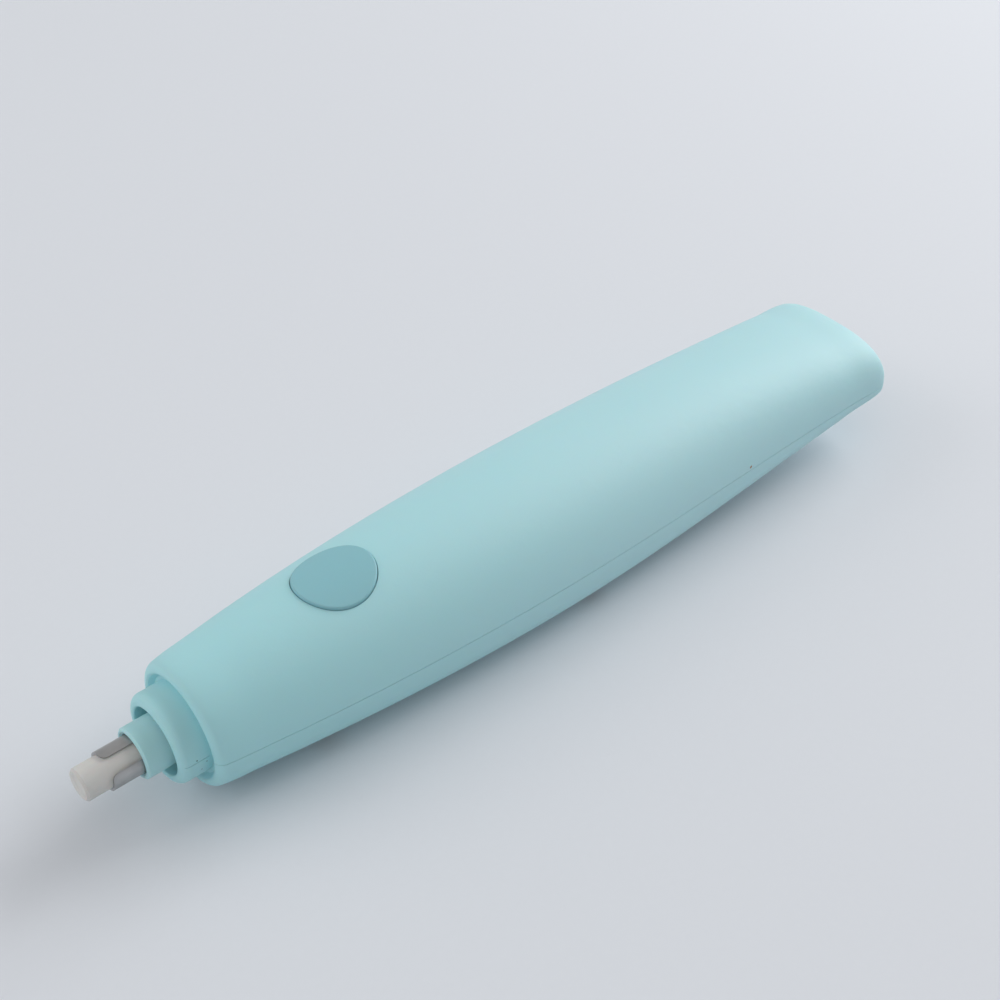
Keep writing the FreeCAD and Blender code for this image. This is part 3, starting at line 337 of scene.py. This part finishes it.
materials.update({
    "ferrite": moulding("pressed_ferrite", colour(0.055, 0.055, 0.06),
                        colour(0.085, 0.082, 0.08), 2400.0, 0.55, 0.8, 0.00004),
    "black_plastic": moulding("black_nylon", colour(0.022, 0.022, 0.024),
                              colour(0.035, 0.035, 0.036), 2600.0, 0.35, 0.55, 0.00002),
    "white_plastic": moulding("natural_acetal", colour(0.78, 0.77, 0.73),
                              colour(0.70, 0.69, 0.64), 2200.0, 0.32, 0.5, 0.000015),
    "wire_red": moulding("red_insulation", colour(0.52, 0.03, 0.03),
                         colour(0.40, 0.02, 0.02), 1800.0, 0.4, 0.55, 0.00002),
    "wire_yellow": moulding("yellow_insulation", colour(0.76, 0.53, 0.06),
                            colour(0.62, 0.42, 0.04), 1800.0, 0.4, 0.55, 0.00002),
    "board": finish("solder_mask", board_look, Coat_Weight=0.4, Coat_Roughness=0.2),
})
print("finishes:", len(materials))

# %% [markdown]
# ## Battery sleeves
#
# An AAA cell wears a printed film with a coloured band at its positive end and bare metal at
# both ends. The film is drawn in bands along X, and each cell has its own ends, so the two cells
# that lie head to tail get a material each.

# %% Two banded cells
BARE_HEAD, BARE_TAIL, BAND_END, PRINT_EDGE = 2.0 * MM, 1.2 * MM, 13.0 * MM, 0.1 * MM


def cell_sleeve(node, positive_first):
    low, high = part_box(node)
    head, away = (low.x, 1.0) if positive_first else (high.x, -1.0)

    length = high.x - low.x

    def look(place):
        reach = (along(place, "X") - head) * away
        film_end = length - BARE_TAIL
        film = reach.between(BARE_HEAD, BARE_HEAD + PRINT_EDGE) \
            * (1 - reach.between(film_end, film_end + PRINT_EDGE))
        band = 1 - reach.between(BAND_END, BAND_END + PRINT_EDGE)
        scuff = noise(place, 900.0, 4.0)
        printed = blend_colours(band, colour(0.035, 0.05, 0.085), colour(0.62, 0.30, 0.05))
        return {
            "Base Color": blend_colours(film, colour(0.66, 0.66, 0.64), printed),
            "Metallic": 1 - film * 0.9,
            "Roughness": 0.24 + 0.2 * scuff,
            "Normal": bump(film + 0.15 * scuff, 0.00004, 0.5),
        }
    return finish(node + "_sleeve", look)


cells = {"battery_left": cell_sleeve("battery_left", True),
         "battery_right": cell_sleeve("battery_right", False)}
print("cells:", ", ".join(cells))

# %% [markdown]
# ## Dress the CAD solids
#
# The record names a slot for every node. Assigning to the object's first material slot keeps its
# mesh as it is.

# %% Assign by slot
slot_of = {name: item.material_slots[0].material.name.split(".")[0]
           for name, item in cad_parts.items()}
for name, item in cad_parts.items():
    item.material_slots[0].material = cells.get(name) or materials[slot_of[name]]
print("dressed", len(slot_of), "solids")

# %% [markdown]
# ## Pieces that follow a rule
#
# A machine screw and a wound coil are both rules: a thread is a radius that swings with the angle
# and the height, and a coil is one loop laid again and again. Geometry Nodes state such a rule
# once, with its sizes as named inputs. The helper below makes a tree with those inputs, and the
# next one grows a mesh from it and turns the result into a plain mesh, which is what the export
# and the frame's calls need.

# %% A tree with named sizes, and a piece grown from it
def sized_tree(name, sizes):
    """A Geometry Nodes tree: itself, its incoming geometry, its sizes as Fields, its output."""
    tree = bpy.data.node_groups.new(name, "GeometryNodeTree")
    tree.interface.new_socket("Seats", in_out="INPUT", socket_type="NodeSocketGeometry")
    tree.interface.new_socket("Piece", in_out="OUTPUT", socket_type="NodeSocketGeometry")
    for label, value in sizes.items():
        kind = "NodeSocketInt" if isinstance(value, int) else "NodeSocketFloat"
        tree.interface.new_socket(label, in_out="INPUT", socket_type=kind)
    entry = tree.nodes.new("NodeGroupInput")
    fields = {label: Field(tree, entry.outputs[label]) for label in sizes}
    return tree, Field(tree, entry.outputs["Seats"]), fields, tree.nodes.new("NodeGroupOutput")


def close_tree(shape, material, leave):
    """Ends a tree: instances become real faces, and every face gets the finish."""
    real = shape.node("GeometryNodeRealizeInstances", None, {"Geometry": shape})
    done = real.node("GeometryNodeSetMaterial", None, {"Geometry": real, "Material": material})
    shape.tree.links.new(done.socket, leave.inputs["Piece"])


def grow(name, tree, sizes, seats):
    """Runs a tree on a mesh of seat points and keeps the result as a plain mesh."""
    start = bpy.data.meshes.new(name)
    start.from_pydata(seats, [], [])
    piece = bpy.data.objects.new(name, start)
    scene.collection.objects.link(piece)
    modifier = piece.modifiers.new("rule", "NODES")
    modifier.node_group = tree
    for item in tree.interface.items_tree:
        if item.in_out == "INPUT" and item.name in sizes:
            modifier[item.identifier] = sizes[item.name]
    seen = piece.evaluated_get(bpy.context.evaluated_depsgraph_get())
    grown = bpy.data.meshes.new_from_object(seen)
    piece.modifiers.clear()
    piece.data = grown
    print(name, "has", len(grown.polygons), "faces")
    return piece


print("the growing helpers are ready")

# %% [markdown]
# ## Four case screws
#
# Each screw goes up into the upper shell from below. Its pan head has a rounded rim and a cross
# recess, and its shank a rolled thread. In the tree, a cylinder's own rings are pushed in and
# out: the thread by a sine of angle plus height, the head by a quarter circle near its face. A
# boolean cuts the cross, and the four copies stand on four seat points.

# %% Screws
def rings_of(seats, sides, segments, radius, depth):
    """A closed cylinder round Z, cut into rings, with its middle at the origin."""
    return seats.node("GeometryNodeMeshCylinder", {"fill_type": "TRIANGLE_FAN"}, {
        "Vertices": sides, "Side Segments": segments, "Radius": radius, "Depth": depth})


def moved(shape, place):
    return shape.node("GeometryNodeSetPosition", None, {"Geometry": shape, "Position": place})


def vector(x, y, z):
    """Three Fields, or plain numbers after the first, as one vector."""
    return x.node("ShaderNodeCombineXYZ", None, {"X": x, "Y": y, "Z": z})


def raised(shape, z):
    """The same geometry, moved along Z."""
    return shape.node("GeometryNodeTransform", None, {
        "Geometry": shape, "Translation": z.node("ShaderNodeCombineXYZ", None, {"Z": z})})


screw_sizes = {
    "Head Radius": 1.58 * MM, "Head Height": 1.2 * MM, "Rim Round": 0.45 * MM,
    "Recess Depth": 0.75 * MM, "Recess Width": 0.42 * MM, "Recess Reach": 1.9 * MM,
    "Shank Radius": 0.84 * MM, "Shank Length": 12.0 * MM, "Thread Pitch": 0.7 * MM,
    "Thread Depth": 0.16 * MM, "Point Length": 1.6 * MM,
}
THREAD_SIDES, THREAD_RINGS, HEAD_SIDES, HEAD_RINGS = 18, 140, 40, 24
POINT_TAPER = 0.6
# the bars' depths differ, so that their ends don't lie in one plane
BAR_DEPTHS = (2.0, 1.8)


def screw_tree():
    tree, seats, size, leave = sized_tree("threaded_screw", screw_sizes)
    here = seats.node("GeometryNodeInputPosition")
    x, y, z = (along(here, axis) for axis in "XYZ")
    # the thread: each ring of the shank swells and shrinks as its angle and height add up
    length, point = size["Shank Length"], size["Point Length"]
    shank = rings_of(seats, THREAD_SIDES, THREAD_RINGS, size["Shank Radius"], length)
    swing = y.maths("ARCTAN2", y, x) - (z / size["Thread Pitch"]) * math.tau
    groove = (swing.maths("SINE", swing) * 0.5 + 0.5) * size["Thread Depth"]
    point_start = length * 0.5 - point
    taper = 1 - (z - point_start).between(0.0, point) * POINT_TAPER
    pull = (1 - groove / size["Shank Radius"]) * taper
    shank = moved(shank, vector(x * pull, y * pull, z))
    shank = raised(shank, length * 0.5)
    # the head: near its face, each ring's radius follows a quarter circle
    head = rings_of(seats, HEAD_SIDES, HEAD_RINGS, size["Head Radius"], size["Head Height"])
    depth = (z + size["Head Height"] * 0.5) / size["Rim Round"]
    inward = 1 - depth.maths("MINIMUM", depth, 1.0)
    fall = 1 - inward.maths("SQRT", 1 - inward * inward)
    pull = 1 - fall * (size["Rim Round"] / size["Head Radius"])
    head = moved(head, vector(x * pull, y * pull, z))
    head = raised(head, size["Head Height"] * -0.5)
    # the cross: two bars, cut out of the head's face
    face = size["Head Height"] * -1.0
    reach, slot, deep = size["Recess Reach"], size["Recess Width"], size["Recess Depth"]
    bars = [seats.node("GeometryNodeMeshCube", None, {"Size": vector(wide, across, tall)})
            for wide, across, tall in ((reach, slot, deep * BAR_DEPTHS[0]),
                                       (slot, reach, deep * BAR_DEPTHS[1]))]
    cutter = tree.nodes.new("GeometryNodeMeshBoolean")
    cutter.operation = "DIFFERENCE"
    tree.links.new(head.socket, cutter.inputs["Mesh 1"])
    for bar in bars:
        tree.links.new(raised(bar, face).socket, cutter.inputs["Mesh 2"])
    whole = tree.nodes.new("GeometryNodeJoinGeometry")
    tree.links.new(cutter.outputs["Mesh"], whole.inputs[0])
    tree.links.new(shank.socket, whole.inputs[0])
    screw = Field(tree, whole.outputs[0])
    four = screw.node("GeometryNodeInstanceOnPoints", None, {"Points": seats, "Instance": screw})
    close_tree(four, materials["nickel"], leave)
    return tree


screws_low, screws_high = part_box("case_screws")
HEAD_SPAN = 1.6 * MM
FRONT_PAIR_Y = 6.6 * MM
head_seat = screws_low.z + screw_sizes["Head Height"]
screw_seats = [
    (x, side * y, head_seat)
    for x, y in ((screws_low.x + HEAD_SPAN, FRONT_PAIR_Y),
                 (screws_high.x - HEAD_SPAN, screws_high.y - HEAD_SPAN))
    for side in (1, -1)]
screws = grow("threaded_screws", screw_tree(), screw_sizes, screw_seats)
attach(screws, "casing")
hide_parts("case_screws")

# %% [markdown]
# ## The motor's windings
#
# Each of the armature's three arms carries a coil of enamelled wire. The loops lie side by side
# up the arm, and the outer ones draw in where the round pole shoe leaves less room. A point per
# loop carries a rounded rectangle of that size; the rectangles are swept to wire only after they
# have been made real, so that the wire's own thickness stays the same. Three seats, turned a
# third of a circle, repeat the coil.

# %% Windings
coil_low, coil_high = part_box("armature_windings")
coil_sizes = {
    "Rows": 12, "Layers": 3, "Wire Radius": 0.12 * MM, "Coil Length": coil_high.x - coil_low.x,
    "Coil Width": 5.4 * MM, "Corner": 1.0 * MM, "Innermost": 2.34 * MM, "Outermost": 4.6 * MM,
    "Shoe Inside": 5.15 * MM,
}
WIRE_SIDES, ARMS = 6, 3


def coil_tree():
    tree, seats, size, leave = sized_tree("wound_coil", coil_sizes)
    wire, rows, layers = size["Wire Radius"], size["Rows"], size["Layers"]
    index = seats.node("GeometryNodeInputIndex")
    layer = index.maths("MODULO", index, layers)
    row = index.maths("FLOOR", index / layers)
    up = size["Innermost"] + row * ((size["Outermost"] - size["Innermost"]) / (rows - 1))
    shoe = size["Shoe Inside"]
    room = up.maths("SQRT", shoe * shoe - up * up)
    inset = layer * wire * 2.0 + wire
    half = size["Coil Width"] * 0.5
    width = half.maths("MINIMUM", half, room) - inset
    length = size["Coil Length"] * 0.5 - inset
    points = seats.node("GeometryNodePoints", None, {
        "Count": rows * layers, "Position": up.node("ShaderNodeCombineXYZ", None, {"Z": up})})
    loop = seats.node("GeometryNodeCurvePrimitiveQuadrilateral", {"mode": "RECTANGLE"},
                      {"Width": 2.0, "Height": 2.0})
    # a loop of half sides 1 by 1 stretches to length by width
    laid = points.node("GeometryNodeInstanceOnPoints", None, {
        "Points": points, "Instance": loop, "Scale": vector(length, width, 1.0)})
    lines = laid.node("GeometryNodeRealizeInstances", None, {"Geometry": laid})
    round_corner = lines.node("GeometryNodeFilletCurve", {"mode": "POLY"}, {
        "Curve": lines, "Count": 4, "Radius": size["Corner"], "Limit Radius": True})
    section = seats.node("GeometryNodeCurvePrimitiveCircle", {"mode": "RADIUS"},
                         {"Resolution": WIRE_SIDES, "Radius": wire})
    coil = round_corner.node("GeometryNodeCurveToMesh", None, {
        "Curve": round_corner, "Profile Curve": section})
    turn = index * (math.tau / ARMS)
    arms = coil.node("GeometryNodeInstanceOnPoints", None, {
        "Points": seats, "Instance": coil, "Rotation": vector(turn, 0.0, 0.0)})
    close_tree(arms, materials["copper"], leave)
    return tree


coil_middle = (coil_low.x + coil_high.x) / 2
axis_z = (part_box("motor_shaft")[0].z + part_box("motor_shaft")[1].z) / 2
windings = grow("wound_coils", coil_tree(), coil_sizes, [(coil_middle, 0.0, axis_z)] * ARMS)
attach(windings, "spindle")
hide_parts("armature_windings")

# %% [markdown]
# ## The studio
#
# The eraser lies on a pale, cool grey sweep. A large softbox stands low beyond its tail, a weaker
# one behind it, and a few faint ones with the room's own light fill in the shadows. A plain
# floor is large enough to fill the view.

# %% Floor
floor_mesh = bpy.data.meshes.new("floor")
FLOOR_HALF = 3.0
floor_mesh.from_pydata([(-FLOOR_HALF, -FLOOR_HALF, 0), (FLOOR_HALF, -FLOOR_HALF, 0),
                        (FLOOR_HALF, FLOOR_HALF, 0), (-FLOOR_HALF, FLOOR_HALF, 0)],
                       [], [(0, 1, 2, 3)])
floor = bpy.data.objects.new("floor", floor_mesh)
scene.collection.objects.link(floor)


def sweep_look(place):
    paper = noise(place, 900.0, 3.0)
    return {
        "Base Color": blend_colours(paper, colour(0.73, 0.755, 0.80), colour(0.745, 0.77, 0.815)),
        "Roughness": 0.75 + 0.1 * paper,
    }


floor_mesh.materials.append(finish("sweep_paper", sweep_look))
print("floor is", 2 * FLOOR_HALF, "m wide")

# %% Lights and room
SOFTBOX_SIDE = 0.7
SOFTBOX_DISTANCE = 1.0


def soft_light(name, azimuth, elevation, power):
    """A square softbox aimed at the origin, from azimuth degrees round and elevation up."""
    data = bpy.data.lights.new(name, "AREA")
    data.size = SOFTBOX_SIDE
    data.energy = power
    lamp = bpy.data.objects.new(name, data)
    turn, lift = math.radians(azimuth), math.radians(elevation)
    away = Vector((math.cos(turn) * math.cos(lift), math.sin(turn) * math.cos(lift),
                   math.sin(lift)))
    lamp.location = away * SOFTBOX_DISTANCE
    lamp.rotation_mode = "QUATERNION"
    lamp.rotation_quaternion = (-away).to_track_quat("-Z", "Y")
    scene.collection.objects.link(lamp)


# azimuth from +X towards +Y, elevation, and watts
LIGHTS = {
    "tail_softbox": (0, 30, 7.5), "back_softbox": (135, 30, 2.4), "nose_softbox": (180, 30, 0.9),
    "front_softbox": (225, 30, 0.65), "nose_fill": (180, 60, 0.35), "front_fill": (225, 60, 0.55),
    "right_fill": (90, 30, 0.4), "top_fill": (0, 90, 0.3),
}
for light_name, (turn, height, power) in LIGHTS.items():
    soft_light(light_name, turn, height, power)
scene.view_settings.view_transform = "Standard"
room = bpy.data.worlds.new("room")
room.use_nodes = True
sky = room.node_tree.nodes["Background"]
sky.inputs["Color"].default_value = colour(0.985, 0.995, 1.01)
sky.inputs["Strength"].default_value = 0.268
scene.world = room

# %% [markdown]
# ## The camera
#
# The view is from the nose's side and above, with a moderate long lens: near things are a little
# larger, which is why the nose end looks fuller than the tail. The angles turn the camera round
# a point near the middle of the object.

# %% Camera
AZIMUTH, ELEVATION, DISTANCE = math.radians(-40.82), math.radians(40.66), 0.27087
aim = Vector((5.38, 8.54, 10.0)) * MM
back = Vector((math.sin(AZIMUTH) * math.cos(ELEVATION), -math.cos(AZIMUTH) * math.cos(ELEVATION),
               math.sin(ELEVATION)))
lens = bpy.data.cameras.new("camera")
lens.sensor_width = 36.0
lens.lens = 61.2
lens.clip_start = 0.01
lens.clip_end = 20.0
camera = bpy.data.objects.new("camera", lens)
camera.location = aim + back * DISTANCE
camera.rotation_mode = "QUATERNION"
camera.rotation_quaternion = (-back).to_track_quat("-Z", "Y")
scene.collection.objects.link(camera)
scene.camera = camera
print("camera at", [round(v / MM, 1) for v in camera.location], "mm")
